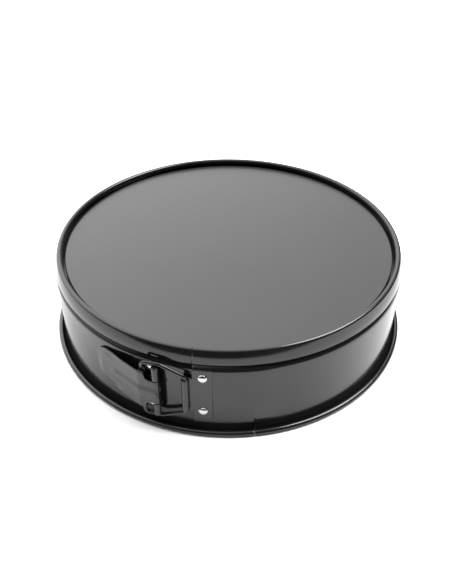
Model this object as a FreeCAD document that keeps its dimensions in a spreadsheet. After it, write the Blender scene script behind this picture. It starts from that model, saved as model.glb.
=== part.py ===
import FreeCAD, Part
import math
import os
import Sketcher
from FreeCAD import Placement, Rotation, Vector

# A 26 cm springform pan, standing on its mouth as it is stored and shown.
# Frame: millimetres, +Z up, origin on the pan's axis in the plane that the rolled mouth rim rests on.
# Azimuths are degrees about +Z, counted from -Y towards +X.  The latch faces -Y.
# The pan is one sprung strip of sheet steel, closed by an over-centre latch round a loose base plate.
# The strip is cut into three arcs here, and the two cuts beside the back arc stand in for its flex.

doc = FreeCAD.newDocument("SpringformPan")

# ---------------------------------------------------------------------------------------------
# Driving dimensions
# ---------------------------------------------------------------------------------------------
DIMENSIONS = [
    # the sprung strip
    ("inner_diameter", 260.0, "inside of the plain wall"),
    ("strip_gauge", 0.6, "sheet thickness of the strip"),
    ("wall_top", 57.0, "upper end of the plain wall"),
    ("flare_angle", 17.0, "slope of the flare at the mouth, degrees from upright"),
    ("flare_bend", 8.0, "bend from the wall into the flare"),
    ("rim_reach", 3.85, "from the middle of the wall sheet to the middle of the rim roll"),
    ("rim_roll", 1.95, "radius of the rim roll, to the middle of its sheet"),
    ("rim_sweep", 290.0, "how far the rim is rolled outwards and back, degrees"),
    ("bead_roll", 1.8, "radius of the roll that edges the base, to the middle of its sheet"),
    ("bead_sweep", 285.0, "how far the bead is rolled, degrees"),
    ("bead_inset", 3.9, "from the middle of the wall sheet in to the middle of the bead roll"),
    ("bead_rise", 11.5, "from the top of the wall to the middle of the bead roll"),
    ("channel_top_rise", 9.6, "from the top of the wall to the top of the channel face"),
    ("channel_middle_rise", 6.5, "from the top of the wall to the crown of the channel face"),
    ("channel_lip_rise", 3.6, "from the top of the wall to the channel's lip"),
    ("channel_top_inset", 2.0, "channel face behind the wall sheet, at its top"),
    ("channel_middle_inset", 0.95, "channel face behind the wall sheet, at its crown"),
    ("channel_lip_inset", 0.55, "channel face behind the wall sheet, at its lip"),
    ("groove_rise", 2.9, "from the top of the wall to the bottom of the retaining groove"),
    ("groove_depth", 3.3, "retaining groove's corner in from the wall sheet"),
    ("shoulder_rise", 0.6, "inner shoulder of the channel above the top of its face"),
    ("head_drop", 1.0, "corner of the wall's upper bend below the top of the wall"),
    ("shoulder_bend", 0.5, "bend under the bead"),
    ("channel_bend", 0.5, "bend at the top of the channel face"),
    ("crown_bend", 14.0, "crown of the channel face"),
    ("lip_bend", 0.5, "bend at the channel's lip"),
    ("groove_bend", 0.4, "bend of the outer tab in the retaining groove"),
    ("head_bend", 3.0, "bend at the head of the wall"),
    ("back_arc", 80.0, "arc of the strip that stays still at the back, degrees"),
    ("flex_gap", 0.34, "gap at each cut that stands in for flex"),
    ("butt_gap", 0.38, "gap between the two bead ends"),
    ("tab_arc", 18.2, "arc of the outer tab that laps the other end, degrees"),
    ("tail_arc", 17.4, "arc of the inner tail under the tab, degrees"),
    ("joggle_arc", 1.0, "arc of the step from the tab to the strip, degrees"),
    ("lap_clearance", 0.34, "gap between the tail and the tab"),
    ("tail_drop", 0.5, "share of the run above the crown that the tail leaves out"),
    ("tab_foot", 9.4, "lower edge of the tab"),
    # the loose base
    ("base_gauge", 0.7, "sheet thickness of the base plate"),
    ("base_panel_radius", 122.8, "radius of the raised panel"),
    ("base_edge_play", 0.55, "gap between the base edge and the channel face"),
    ("base_edge_rise", 0.45, "underside of the base edge above the channel's lip corner"),
    ("base_step", 4.9, "height of the raised panel over the base edge"),
    ("base_bend", 0.9, "outside bends of the base plate"),
    # the latch
    ("latch_height", 36.0, "height of the latch's middle"),
    ("latch_gauge", 1.0, "sheet thickness of lever and brackets"),
    ("plate_height", 43.0, "height of the catch plate"),
    ("catch_azimuth", -1.7, "where the catch barrel stands"),
    ("catch_stand", 3.4, "catch barrel axis out from the outside of the wall"),
    ("catch_barrel_length", 28.0, "length of the catch barrel"),
    ("catch_edge_azimuth", 5.7, "free edge of the catch plate"),
    ("catch_rivet_azimuth", 3.0, "rivets of the catch plate"),
    ("hinge_azimuth", -9.7, "where the lever hinge stands"),
    ("hinge_stand", 5.4, "hinge axis out from the outside of the wall"),
    ("hinge_height", 42.0, "length over both hinge barrels"),
    ("hinge_edge_azimuth", -17.2, "free edge of the lever bracket"),
    ("hinge_rivet_azimuth", -12.35, "rivets of the lever bracket"),
    ("catch_rivet_spacing", 29.5, "between the two rivets of the catch plate"),
    ("hinge_rivet_spacing", 33.0, "between the two rivets of the lever bracket"),
    ("rivet_shank", 1.5, "radius of a rivet's shank"),
    ("rivet_head", 3.2, "radius of a rivet's head"),
    ("rivet_dome", 1.7, "height of a rivet's head"),
    ("barrel_radius", 2.35, "outside of every rolled barrel"),
    ("pin_radius", 1.3, "hinge pin"),
    ("pin_clearance", 0.05, "radial running clearance of the lever on its pin"),
    ("knuckle_length", 19.8, "the lever's own rolled knuckle"),
    ("knuckle_gap", 0.3, "end gap between the knuckle and each barrel"),
    ("lever_width", 31.6, "over the lever's blade"),
    ("lever_bend_azimuth", -14.3, "where the blade bends back to the wall"),
    ("lever_bend_radius", 6.0, "radius of that bend"),
    ("lever_bend_stand", 7.4, "middle of the blade sheet out from the wall at the bend"),
    ("lever_tip_azimuth", -31.9, "tip of the blade"),
    ("lever_tip_stand", 1.7, "middle of the blade sheet out from the wall at the tip"),
    ("lever_tip_round", 12.5, "corner rounding of the blade's tip"),
    ("lever_neck_end", 5.0, "end of the narrow neck, before the bend"),
    ("lever_shoulder", 3.6, "start of the full width, before the bend"),
    ("rib_length", 40.0, "stiffening rib of the lever"),
    ("rib_end", 26.0, "far end of the rib, beyond the bend"),
    ("rib_width", 7.5, "width of the rib"),
    ("rib_height", 0.9, "how far the rib stands proud"),
    ("ear_length", 4.6, "length of an ear along the blade"),
    ("ear_clearance", 0.15, "radial clearance of the wire in an ear's hole"),
    ("crank", 9.5, "from the hinge axis to the link's pivot in the ears"),
    ("over_centre", 14.0, "how far the shut link lies past dead centre, degrees"),
    # the wire link
    ("wire_radius", 1.3, "wire of the link"),
    ("wire_clearance", 0.08, "radial running clearance of the wire in the catch barrel"),
    ("link_half_width", 22.8, "middle of each arm from the latch's middle"),
    ("link_shoulder", 16.2, "where the leg turns into an arm, from the latch's middle"),
    ("link_slope_run", 16.0, "run of the sloping part of each arm"),
    ("link_bend", 2.6, "bend radius of the wire"),
    ("tip_gap", 0.3, "gap between a wire tip and the ear"),
]

sheet = doc.addObject("Spreadsheet::Sheet", "Sizes")
for row, (alias, value, note) in enumerate(DIMENSIONS, start=1):
    sheet.set("A%d" % row, alias)
    sheet.set("B%d" % row, str(value))
    sheet.set("C%d" % row, note)
    sheet.setAlias("B%d" % row, alias)
doc.recompute()


def size(alias):
    """A driving dimension, as the sheet holds it."""
    return float(sheet.get(alias))


gauge = size("strip_gauge")
wall_outside = size("inner_diameter") / 2 + gauge
wall_middle = size("inner_diameter") / 2 + gauge / 2
wall_top = size("wall_top")
lap = gauge + size("lap_clearance")
tab_outside = wall_outside + lap
latch_height = size("latch_height")


def polar(radius, azimuth, height=0.0):
    """A point at a radius and azimuth."""
    turn = math.radians(azimuth)
    return Vector(radius * math.sin(turn), -radius * math.cos(turn), height)


def arc_degrees(length, radius):
    """The angle that a length subtends at a radius."""
    return math.degrees(length / radius)


# ---------------------------------------------------------------------------------------------
# Bent sheet: a middle line of straight runs and bends, thickened to both sides.
# A run is ("run", start, end).  A bend is ("bend", centre, radius, first angle, sweep).
# The line lies in a plane given by two numbers a point: across and up.
# ---------------------------------------------------------------------------------------------
def bent_line(corners, radii):
    """Straight runs between corners, with a bend of the given radius at each inner corner."""
    pieces = []
    start = corners[0]
    for before, corner, after, radius in zip(corners, corners[1:], corners[2:], radii):
        heading_in = math.atan2(corner[1] - before[1], corner[0] - before[0])
        heading_out = math.atan2(after[1] - corner[1], after[0] - corner[0])
        turn = (heading_out - heading_in + math.pi) % (2 * math.pi) - math.pi
        side = math.copysign(1.0, turn)
        trim = radius * math.tan(abs(turn) / 2)
        end = (corner[0] - trim * math.cos(heading_in), corner[1] - trim * math.sin(heading_in))
        centre = (end[0] - side * radius * math.sin(heading_in),
                  end[1] + side * radius * math.cos(heading_in))
        pieces.append(("run", start, end))
        pieces.append(("bend", centre, radius, heading_in - side * math.pi / 2, turn))
        start = (corner[0] + trim * math.cos(heading_out), corner[1] + trim * math.sin(heading_out))
    pieces.append(("run", start, corners[-1]))
    return pieces


def roll(centre, radius, first_degrees, sweep_degrees):
    """A rolled edge, as one long bend."""
    return [("bend", centre, radius, math.radians(first_degrees), math.radians(sweep_degrees))]


def beside(piece, offset):
    """The edge that runs a distance to the left of a piece, with its two ends."""
    if piece[0] == "run":
        (x1, z1), (x2, z2) = piece[1], piece[2]
        length = math.hypot(x2 - x1, z2 - z1)
        shift = Vector(-(z2 - z1) / length * offset, 0, (x2 - x1) / length * offset)
        first = Vector(x1, 0, z1) + shift
        last = Vector(x2, 0, z2) + shift
        return Part.makeLine(first, last), first, last
    centre, radius, angle, sweep = piece[1:]
    reach = radius - offset * math.copysign(1.0, sweep)

    def at(turn):
        return Vector(centre[0] + reach * math.cos(turn), 0, centre[1] + reach * math.sin(turn))

    first, middle, last = at(angle), at(angle + sweep / 2), at(angle + sweep)
    return Part.Arc(first, middle, last).toShape(), first, last


def sheet_section(pieces, left, right):
    """The closed section of a sheet between two distances to the left of its middle line."""
    left_side = [beside(piece, left) for piece in pieces]
    right_side = [beside(piece, right) for piece in pieces]
    edges = [edge for edge, first, last in left_side]
    edges.append(Part.makeLine(left_side[-1][2], right_side[-1][2]))
    edges.extend(edge for edge, first, last in reversed(right_side))
    edges.append(Part.makeLine(right_side[0][1], left_side[0][1]))
    return Part.Face(Part.Wire(edges))


def moved_corner(before, corner, after, offset):
    """The corner of a line that runs a distance to the left of the given one."""
    heading_in = math.atan2(corner[1] - before[1], corner[0] - before[0])
    heading_out = math.atan2(after[1] - corner[1], after[0] - corner[0])
    bisector = (heading_in + heading_out) / 2 + math.pi / 2
    reach = offset / math.cos((heading_out - heading_in) / 2)
    return corner[0] + reach * math.cos(bisector), corner[1] + reach * math.sin(bisector)


def swept_arc(section, first_azimuth, last_azimuth):
    """A section turned about the pan's axis from one azimuth to another."""
    face = section.copy()
    face.rotate(Vector(0, 0, 0), Vector(0, 0, 1), first_azimuth - 90)
    return face.revolve(Vector(0, 0, 0), Vector(0, 0, 1), last_azimuth - first_azimuth)


# ---------------------------------------------------------------------------------------------
# The strip's section, from the rolled bead round the base down to the rolled mouth rim
# ---------------------------------------------------------------------------------------------
bead_centre = (wall_middle - size("bead_inset"), wall_top + size("bead_rise"))
bead_side = (bead_centre[0] + size("bead_roll"), bead_centre[1])
channel_top = (wall_middle - size("channel_top_inset"), wall_top + size("channel_top_rise"))
channel_shoulder = (bead_side[0], channel_top[1] + size("shoulder_rise"))
channel_middle = (wall_middle - size("channel_middle_inset"), wall_top + size("channel_middle_rise"))
channel_lip = (wall_middle - size("channel_lip_inset"), wall_top + size("channel_lip_rise"))
groove = (wall_middle - size("groove_depth"), wall_top + size("groove_rise"))
wall_head = (wall_middle, wall_top - size("head_drop"))
rim_centre = (wall_middle + size("rim_reach"), size("rim_roll") + gauge / 2)
slope = math.radians(size("flare_angle"))
flare_end = (rim_centre[0] - size("rim_roll") * math.cos(slope),
             rim_centre[1] - size("rim_roll") * math.sin(slope))
wall_foot = (wall_middle, flare_end[1] + (flare_end[0] - wall_middle) / math.tan(slope))
rim_outside = rim_centre[0] + size("rim_roll") + gauge / 2

shoulder_bend = size("shoulder_bend")
channel_bend = size("channel_bend")
crown_bend = size("crown_bend")
lip_bend = size("lip_bend")
groove_bend = size("groove_bend") + lap
head_bend = size("head_bend")
flare_bend = size("flare_bend")
tail_drop = size("tail_drop")

bead = roll(bead_centre, size("bead_roll"), size("bead_sweep"), -size("bead_sweep"))
rim = roll(rim_centre, size("rim_roll"), 180 + size("flare_angle"), size("rim_sweep"))

strip_line = bead + bent_line(
    [bead_side, channel_shoulder, channel_top, channel_middle, channel_lip, groove, wall_head,
     wall_foot, flare_end],
    [shoulder_bend, channel_bend, crown_bend, lip_bend, groove_bend, head_bend, flare_bend]) + rim
strip_section = sheet_section(strip_line, gauge / 2, -gauge / 2)

# The tail slides under the tab, so it starts part of the way down the channel face.
tail_start = (channel_top[0] + (channel_middle[0] - channel_top[0]) * tail_drop,
              channel_top[1] + (channel_middle[1] - channel_top[1]) * tail_drop)
tail_line = bent_line(
    [tail_start, channel_middle, channel_lip, groove, wall_head, wall_foot, flare_end],
    [crown_bend, lip_bend, groove_bend, head_bend, flare_bend]) + rim
tail_section = sheet_section(tail_line, gauge / 2, -gauge / 2)

# The tab follows the tail's outside at the lap clearance.  Its bead is the strip's own bead.
tab_middle = moved_corner(channel_top, channel_middle, channel_lip, lap)
tab_lip = moved_corner(channel_middle, channel_lip, groove, lap)
tab_groove = moved_corner(channel_lip, groove, wall_head, lap)
tab_head = moved_corner(groove, wall_head, wall_foot, lap)
tab_foot = (wall_middle + lap, size("tab_foot"))
tab_channel_top = (channel_top[0] + lap, channel_top[1])
tab_line = bead + bent_line(
    [bead_side, channel_shoulder, tab_channel_top, tab_middle, tab_lip, tab_groove, tab_head, tab_foot],
    [shoulder_bend, channel_bend, crown_bend + lap, lip_bend + lap, groove_bend - lap, head_bend + lap])
tab_section = sheet_section(tab_line, gauge / 2, -gauge / 2)

# The joggle fills the step between the tab and the strip.
joggle_foot = (wall_middle, size("tab_foot"))
joggle_line = bent_line(
    [tail_start, channel_middle, channel_lip, groove, wall_head, joggle_foot],
    [crown_bend, lip_bend, groove_bend, head_bend])
joggle_section = sheet_section(joggle_line, lap + gauge / 2, -gauge / 2)

flex_half_angle = arc_degrees(size("flex_gap") / 2, rim_outside)
butt_half_angle = arc_degrees(size("butt_gap") / 2, bead_side[0])
flex_azimuth = 180 - size("back_arc") / 2


def rivet_hole(azimuth, height):
    """A radial hole for a rivet's shank, through whatever sheets lie near the wall."""
    spread = size("rivet_head")
    start = polar(wall_outside - spread, azimuth, height)
    return Part.makeCylinder(size("rivet_shank"), 2 * spread, start, polar(1, azimuth))


catch_rivet_heights = {
    "upper": latch_height + size("catch_rivet_spacing") / 2,
    "lower": latch_height - size("catch_rivet_spacing") / 2,
}
lever_rivet_heights = {
    "upper": latch_height + size("hinge_rivet_spacing") / 2,
    "lower": latch_height - size("hinge_rivet_spacing") / 2,
}


def feature(name, shape):
    """A sub-part whose shape is built from the sheet's values."""
    part = doc.addObject("Part::Feature", name)
    part.Label = name
    part.Shape = shape.removeSplitter()
    part.Placement = Placement()
    return part


def make_band_back():
    """The arc of the strip opposite the latch."""
    return swept_arc(strip_section, flex_azimuth + flex_half_angle, 360 - flex_azimuth - flex_half_angle)


def make_band_left():
    """The arc that carries the lever, with the tail that slides under the tab."""
    main = swept_arc(strip_section, flex_half_angle - flex_azimuth, -butt_half_angle)
    tail = swept_arc(tail_section, -butt_half_angle, size("tail_arc"))
    shape = main.fuse(tail)
    for height in lever_rivet_heights.values():
        shape = shape.cut(rivet_hole(size("hinge_rivet_azimuth"), height))
    return shape


def make_band_right():
    """The arc that carries the catch, with its outer tab and the joggle behind it."""
    tab = swept_arc(tab_section, butt_half_angle, size("tab_arc"))
    joggle_end = size("tab_arc") + size("joggle_arc")
    bead_bridge = swept_arc(sheet_section(tab_line[:3], gauge / 2, -gauge / 2),
                            size("tab_arc"), joggle_end)
    joggle = swept_arc(joggle_section, size("tab_arc"), joggle_end)
    main = swept_arc(strip_section, joggle_end, flex_azimuth - flex_half_angle)
    shape = tab.fuse([bead_bridge, joggle, main])
    for height in catch_rivet_heights.values():
        shape = shape.cut(rivet_hole(size("catch_rivet_azimuth"), height))
    return shape


band_back = feature("band_back", make_band_back())
band_left = feature("band_left", make_band_left())
band_right = feature("band_right", make_band_right())

# ---------------------------------------------------------------------------------------------
# The base plate: a stamped disc whose edge lies in the channel, under the bead
# ---------------------------------------------------------------------------------------------
body = doc.addObject("PartDesign::Body", "base_plate")
body.Label = "base_plate"
xz_plane = [item for item in body.Origin.OriginFeatures if item.Role == "XZ_Plane"][0]
profile = body.newObject("Sketcher::SketchObject", "base_profile")
profile.AttachmentSupport = [(xz_plane, "")]
profile.MapMode = "FlatFace"

panel_radius = size("base_panel_radius")
EDGE_RADIUS = "Sizes.inner_diameter / 2 - Sizes.channel_lip_inset - Sizes.base_edge_play"
EDGE_UNDER = "Sizes.wall_top + Sizes.channel_lip_rise + Sizes.base_edge_rise"
EDGE_TOP = EDGE_UNDER + " + Sizes.base_gauge"
PANEL_TOP = EDGE_TOP + " + Sizes.base_step - Sizes.base_gauge"
PANEL_UNDER = EDGE_UNDER + " + Sizes.base_step - Sizes.base_gauge"
base_corners = [
    ("0 mm", PANEL_UNDER),
    ("Sizes.base_panel_radius - Sizes.base_gauge", PANEL_UNDER),
    ("Sizes.base_panel_radius - Sizes.base_gauge", EDGE_UNDER),
    (EDGE_RADIUS, EDGE_UNDER),
    (EDGE_RADIUS, EDGE_TOP),
    ("Sizes.base_panel_radius", EDGE_TOP),
    ("Sizes.base_panel_radius", PANEL_TOP),
    ("0 mm", PANEL_TOP),
]


def draw_polygon(sketch, corners):
    """A closed outline whose every corner is held by expressions across and up from the origin."""
    count = len(corners)
    start = Vector(panel_radius, wall_top, 0)
    turns = [k * 2 * math.pi / count for k in range(count)]
    spots = [start + Vector(math.cos(turn), math.sin(turn), 0) * wall_top / 2 for turn in turns]
    for k in range(count):
        sketch.addGeometry(Part.LineSegment(spots[k], spots[(k + 1) % count]), False)
    for k in range(count):
        sketch.addConstraint(Sketcher.Constraint("Coincident", k, 2, (k + 1) % count, 1))
    for k, (across, up) in enumerate(corners):
        for kind, spot, words in (("DistanceX", spots[k].x, across), ("DistanceY", spots[k].y, up)):
            index = sketch.addConstraint(Sketcher.Constraint(kind, -1, 1, k, 1, spot))
            sketch.setExpression("Constraints[%d]" % index, words)


draw_polygon(profile, base_corners)
doc.recompute()
disc = body.newObject("PartDesign::Revolution", "base_disc")
disc.Profile = profile
disc.ReferenceAxis = (profile, ["V_Axis"])
disc.Angle = 360
doc.recompute()


def circle_edges(shape, radius, height):
    """The names of a shape's whole circles at a radius and height."""
    names = []
    for index, edge in enumerate(shape.Edges, start=1):
        if edge.Curve.TypeId == "Part::GeomCircle" and abs(edge.Curve.Radius - radius) < 1e-4:
            if abs(edge.Curve.Center.z - height) < 1e-4:
                names.append("Edge%d" % index)
    return names


edge_under = wall_top + size("channel_lip_rise") + size("base_edge_rise")
panel_top = edge_under + size("base_step")
panel_bends = body.newObject("PartDesign::Fillet", "base_bends")
panel_bends.Base = (disc, circle_edges(disc.Shape, panel_radius, panel_top)
                    + circle_edges(disc.Shape, panel_radius - size("base_gauge"), edge_under))
panel_bends.setExpression("Radius", "Sizes.base_bend")
doc.recompute()
base_plate = body

# ---------------------------------------------------------------------------------------------
# Latch positions
# ---------------------------------------------------------------------------------------------
catch_radius = wall_outside + size("catch_stand")
hinge_radius = wall_outside + size("hinge_stand")
catch_axis = polar(catch_radius, size("catch_azimuth"))
hinge_axis = polar(hinge_radius, size("hinge_azimuth"))
dead_centre = (hinge_axis - catch_axis).normalize()
inward_turn = Rotation(Vector(0, 0, 1), -size("over_centre"))
ear_axis = hinge_axis + inward_turn.multVec(dead_centre) * size("crank")
latch_gauge = size("latch_gauge")
barrel_radius = size("barrel_radius")
pin_radius = size("pin_radius")
link_length = (ear_axis - catch_axis).Length


def upright(radius, centre, low, high):
    """A solid cylinder about a vertical axis."""
    return Part.makeCylinder(radius, high - low, Vector(centre.x, centre.y, low))


def plate_arc(inside, first_azimuth, last_azimuth, low, high):
    """A plate of latch sheet, curved to lie on the wall."""
    outline = Part.makePolygon([
        Vector(inside, 0, low), Vector(inside + latch_gauge, 0, low),
        Vector(inside + latch_gauge, 0, high), Vector(inside, 0, high), Vector(inside, 0, low)])
    return swept_arc(Part.Face(outline), first_azimuth, last_azimuth)


def make_catch_bracket():
    """The plate riveted to the tab, rolled into the barrel that the wire link turns in."""
    half = size("plate_height") / 2
    barrel_half = size("catch_barrel_length") / 2
    plate = plate_arc(tab_outside, butt_half_angle, size("catch_edge_azimuth"),
                      latch_height - half, latch_height + half)
    neck = plate_arc(tab_outside, size("catch_azimuth"), butt_half_angle,
                     latch_height - barrel_half, latch_height + barrel_half)
    barrel = upright(barrel_radius, catch_axis, latch_height - barrel_half, latch_height + barrel_half)
    shape = plate.fuse([neck, barrel])
    bore = size("wire_radius") + size("wire_clearance")
    shape = shape.cut(upright(bore, catch_axis, latch_height - half, latch_height + half))
    for height in catch_rivet_heights.values():
        shape = shape.cut(rivet_hole(size("catch_rivet_azimuth"), height))
    return shape


def make_lever_bracket():
    """The plate riveted under the lever, with a web and a rolled barrel above and below the knuckle."""
    half = size("hinge_height") / 2
    knuckle_half = size("knuckle_length") / 2 + size("knuckle_gap")
    root_azimuth = size("hinge_azimuth") - arc_degrees(barrel_radius - latch_gauge, wall_outside)
    shape = plate_arc(wall_outside, size("hinge_edge_azimuth"), root_azimuth,
                      latch_height - half, latch_height + half)
    outward = polar(1, size("hinge_azimuth"))
    for low, high in ((-half, -knuckle_half), (knuckle_half, half)):
        barrel = upright(barrel_radius, hinge_axis, latch_height + low, latch_height + high)
        web = Part.makeBox(size("hinge_stand"), latch_gauge, high - low)
        web.rotate(Vector(0, 0, 0), Vector(0, 0, 1), size("hinge_azimuth") - 90)
        corner = polar(wall_outside, size("hinge_azimuth"), latch_height + low)
        sideways = Vector(outward.y, -outward.x, 0) * barrel_radius
        web.translate(corner + sideways)
        shape = shape.fuse([barrel, web])
    shape = shape.cut(upright(pin_radius, hinge_axis, latch_height - half, latch_height + half))
    for height in lever_rivet_heights.values():
        shape = shape.cut(rivet_hole(size("hinge_rivet_azimuth"), height))
    return shape


catch_bracket = feature("catch_bracket", make_catch_bracket())
lever_bracket = feature("lever_bracket", make_lever_bracket())

# ---------------------------------------------------------------------------------------------
# The hinge pin, flush with the ends of the bracket's barrels
# ---------------------------------------------------------------------------------------------
hinge_pin = doc.addObject("Part::Cylinder", "hinge_pin")
hinge_pin.Label = "hinge_pin"
hinge_pin.setExpression("Radius", "Sizes.pin_radius")
hinge_pin.setExpression("Height", "Sizes.hinge_height")
HINGE_RADIUS = "(Sizes.inner_diameter / 2 + Sizes.strip_gauge + Sizes.hinge_stand)"
hinge_pin.setExpression("Placement.Base.x", HINGE_RADIUS + " * sin(Sizes.hinge_azimuth * 1 deg)")
hinge_pin.setExpression("Placement.Base.y", "-" + HINGE_RADIUS + " * cos(Sizes.hinge_azimuth * 1 deg)")
hinge_pin.setExpression("Placement.Base.z", "Sizes.latch_height - Sizes.hinge_height / 2")

# ---------------------------------------------------------------------------------------------
# Four domed rivets, flush inside
# ---------------------------------------------------------------------------------------------
def make_rivet(name, inside, sheet_depth, azimuth, height):
    """A shank through strip and bracket, under a domed head: Part primitives, joined."""
    shank = doc.addObject("Part::Cylinder", name + "_shank")
    shank.setExpression("Radius", "Sizes.rivet_shank")
    shank.Height = sheet_depth
    dome = doc.addObject("Part::Ellipsoid", name + "_dome")
    dome.setExpression("Radius1", "Sizes.rivet_dome")
    dome.setExpression("Radius2", "Sizes.rivet_head")
    dome.Angle1 = 0
    dome.Angle2 = 90
    dome.Placement = Placement(Vector(0, 0, sheet_depth), Rotation())
    rivet = doc.addObject("Part::Fuse", name)
    rivet.Base = shank
    rivet.Tool = dome
    rivet.Label = name
    rivet.Placement = Placement(polar(inside, azimuth, height),
                                Rotation(Vector(0, 0, 1), polar(1, azimuth)))
    return rivet


rivets = []
for level, height in catch_rivet_heights.items():
    rivets.append(make_rivet("catch_rivet_" + level, tab_outside - gauge,
                             gauge + latch_gauge, size("catch_rivet_azimuth"), height))
for level, height in lever_rivet_heights.items():
    rivets.append(make_rivet("lever_rivet_" + level, wall_outside - gauge,
                             gauge + latch_gauge, size("hinge_rivet_azimuth"), height))

# ---------------------------------------------------------------------------------------------
# The lever: a rolled knuckle on the pin, a neck between the barrels, and a long blade
# ---------------------------------------------------------------------------------------------
blade_bend = polar(wall_outside + size("lever_bend_stand"), size("lever_bend_azimuth"))
blade_tip = polar(wall_outside + size("lever_tip_stand"), size("lever_tip_azimuth"))
blade_heading = (blade_tip - blade_bend).normalize()
blade_outward = Vector(-blade_heading.y, blade_heading.x, 0)
if blade_outward.dot(blade_bend) < 0:
    blade_outward = -blade_outward
knuckle_top = hinge_axis + polar(barrel_radius - latch_gauge / 2, size("hinge_azimuth"))
through = size("lever_width")


def lever_slab(first_offset, last_offset, low, high):
    """The bent sheet of the lever between two distances inwards of its middle, over a height."""
    corners = [(point.x, point.y) for point in (knuckle_top, blade_bend, blade_tip)]
    section = sheet_section(bent_line(corners, [size("lever_bend_radius")]), first_offset, last_offset)
    section.rotate(Vector(0, 0, 0), Vector(1, 0, 0), -90)
    section.translate(Vector(0, 0, low))
    return section.extrude(Vector(0, 0, high - low))


def blade_point(along, up, out=0.0):
    """A point beside the blade: along it from the bend, up from the latch's middle, and outwards."""
    return blade_bend + blade_heading * along + blade_outward * out + Vector(0, 0, latch_height + up)


def through_blade(wire):
    """A prism through the blade, from an outline drawn behind it."""
    return Part.Face(wire).extrude(blade_outward * 2 * through)


def lever_outline():
    """Knuckle, neck, shoulders, straight blade and rounded tip, as one closed outline."""
    neck = size("knuckle_length") / 2
    half = size("lever_width") / 2
    blade_length = (blade_tip - blade_bend).Length
    round_start = blade_length - size("lever_tip_round")
    flat_half = half - size("lever_tip_round")
    back = -through
    slant = size("lever_tip_round") * math.sqrt(0.5)
    shoulder_low = (-size("lever_neck_end"), neck)
    shoulder_high = (-size("lever_shoulder"), half)

    def at(along, up):
        return blade_point(along, up, -through)

    def corner_arc(sign):
        first = at(round_start, sign * half)
        middle = at(round_start + slant, sign * (flat_half + slant))
        last = at(blade_length, sign * flat_half)
        return first, middle, last

    top, bottom = corner_arc(1), corner_arc(-1)
    edges = [
        Part.makeLine(at(back, -neck), at(back, neck)),
        Part.makeLine(at(back, neck), at(*shoulder_low)),
        Part.makeLine(at(*shoulder_low), at(*shoulder_high)),
        Part.makeLine(at(*shoulder_high), top[0]),
        Part.Arc(*top).toShape(),
        Part.makeLine(top[2], bottom[2]),
        Part.Arc(bottom[2], bottom[1], bottom[0]).toShape(),
        Part.makeLine(bottom[0], at(shoulder_high[0], -half)),
        Part.makeLine(at(shoulder_high[0], -half), at(shoulder_low[0], -neck)),
        Part.makeLine(at(shoulder_low[0], -neck), at(back, -neck)),
    ]
    return Part.Wire(edges)


def rib_outline():
    """A long slot shape on the middle of the neck and blade."""
    half = size("rib_width") / 2
    last = size("rib_end")
    first = last - size("rib_length")

    def at(along, up):
        return blade_point(along, up, -through)

    return Part.Wire([
        Part.makeLine(at(first, half), at(last, half)),
        Part.Arc(at(last, half), at(last + half, 0), at(last, -half)).toShape(),
        Part.makeLine(at(last, -half), at(first, -half)),
        Part.Arc(at(first, -half), at(first - half, 0), at(first, half)).toShape(),
    ])


def make_lever():
    """The lever in its shut position."""
    neck = size("knuckle_length") / 2
    half = size("lever_width") / 2
    outer = latch_gauge / 2
    side = 1 if lever_side_is_left() else -1
    blade = lever_slab(side * outer, -side * outer, latch_height - half, latch_height + half)
    blade = blade.common(through_blade(lever_outline()))
    rib = lever_slab(side * (outer + size("rib_height")), 0, latch_height - half, latch_height + half)
    rib = rib.common(through_blade(rib_outline()))
    knuckle = upright(barrel_radius, hinge_axis, latch_height - neck, latch_height + neck)
    shape = blade.fuse([rib, knuckle])
    for sign in (-1, 1):
        shape = shape.fuse(make_ear(sign))
    bore = pin_radius + size("pin_clearance")
    shape = shape.cut(upright(bore, hinge_axis, latch_height - half, latch_height + half))
    return shape


def lever_side_is_left():
    """True when the outside of the lever lies to the left of its line from hinge to tip."""
    heading = blade_bend - knuckle_top
    return Vector(-heading.y, heading.x, 0).dot(blade_bend) > 0


def make_ear(sign):
    """A flange turned in from the blade's edge, with the hole that the wire's tip points at."""
    half = size("lever_width") / 2
    heading = (blade_bend - knuckle_top).normalize()
    outward = Vector(-heading.y, heading.x, 0)
    if outward.dot(blade_bend) < 0:
        outward = -outward
    across = size("ear_length") / 2
    depth = (blade_bend - ear_axis).dot(outward)
    low = min(sign * half, sign * (half - latch_gauge))
    base = Vector(ear_axis.x, ear_axis.y, latch_height + low)
    round_end = Part.makeCylinder(across, latch_gauge, base)
    corners = [base + heading * across, base + heading * across + outward * depth,
               base - heading * across + outward * depth, base - heading * across,
               base + heading * across]
    stem = Part.Face(Part.makePolygon(corners)).extrude(Vector(0, 0, latch_gauge))
    bore = size("wire_radius") + size("ear_clearance")
    hole = upright(bore, ear_axis, latch_height - half, latch_height + half)
    return round_end.fuse(stem).cut(hole)


lever = feature("lever", make_lever())

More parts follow.
